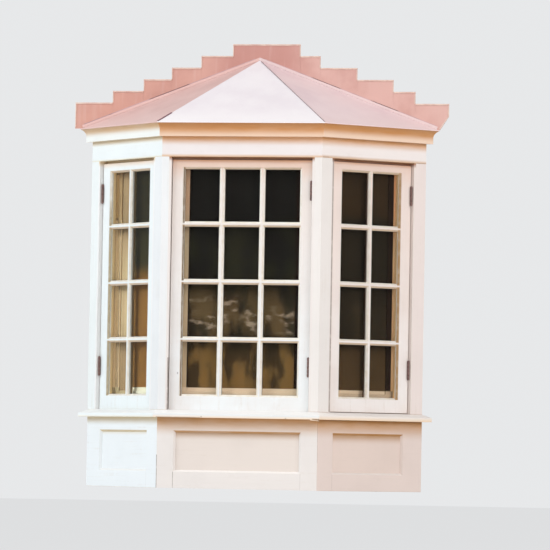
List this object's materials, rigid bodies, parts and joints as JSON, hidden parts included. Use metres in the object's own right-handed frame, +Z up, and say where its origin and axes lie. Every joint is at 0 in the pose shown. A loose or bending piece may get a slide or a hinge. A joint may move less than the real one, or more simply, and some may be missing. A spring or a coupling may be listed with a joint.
{
  "type": "bay window",
  "caption": "Canted timber bay window for a wall, with casement sashes in small panes, a panelled skirt, a mitred sill and a hipped sheet metal roof with stepped flashing.",
  "frame": {"origin": "middle of the flat rear face of the wall ledger, on the wall plane", "axes": "+Z up, +Y into the wall, the front of the bay looks along -Y, +X to the right seen from the front"},
  "size_m": [2.071, 0.54, 2.425],
  "materials": {
    "painted_timber": "weathered white gloss paint on timber",
    "bare_timber": "plain sawn softwood and boarding",
    "window_glass": "clear panes over a dark room",
    "glazing_putty": "painted linseed putty",
    "screen_paint": "tan paint on thin timber",
    "insect_mesh": "dark woven insect mesh",
    "hinge_metal": "weathered brown butt hinges",
    "pale_roof_metal": "pale painted sheet metal",
    "rose_roof_metal": "faded rose painted sheet metal",
    "flashing_metal": "rose painted stepped flashing"
  },
  "bodies": {
    "root": {"skirt_frame_left": "painted_timber", "skirt_frame_front": "painted_timber", "skirt_frame_right": "painted_timber", "skirt_panel_left": "painted_timber", "skirt_panel_front": "painted_timber", "skirt_panel_right": "painted_timber", "sill_left": "painted_timber", "sill_front": "painted_timber", "sill_right": "painted_timber", "wall_post_left": "painted_timber", "wall_post_right": "painted_timber", "corner_post_left": "painted_timber", "corner_post_right": "painted_timber", "window_frame_left": "painted_timber", "window_frame_front": "painted_timber", "window_frame_right": "painted_timber", "sash_left": "painted_timber", "sash_front": "painted_timber", "sash_right": "painted_timber", "glazing_bars_left": "painted_timber", "glazing_bars_front": "painted_timber", "glazing_bars_right": "painted_timber", "screen_frame_left": "screen_paint", "screen_frame_front": "screen_paint", "screen_frame_right": "screen_paint", "header_left": "painted_timber", "header_front": "painted_timber", "header_right": "painted_timber", "cornice_left": "painted_timber", "cornice_front": "painted_timber", "cornice_right": "painted_timber", "wall_ledger": "bare_timber", "soffit_board": "bare_timber", "seat_board": "bare_timber", "head_board": "bare_timber", "roof_backboard": "bare_timber", "roof_deck": "bare_timber", "glass_left": "window_glass", "glass_front": "window_glass", "glass_right": "window_glass", "putty": "glazing_putty", "screen_mesh": "insect_mesh", "hinges": "hinge_metal", "roof_sheet_front": "pale_roof_metal", "roof_sheet_left": "rose_roof_metal", "roof_sheet_right": "rose_roof_metal", "flashing_left": "flashing_metal", "flashing_right": "flashing_metal", "flashing_cap": "flashing_metal"}
  },
  "joints": []
}
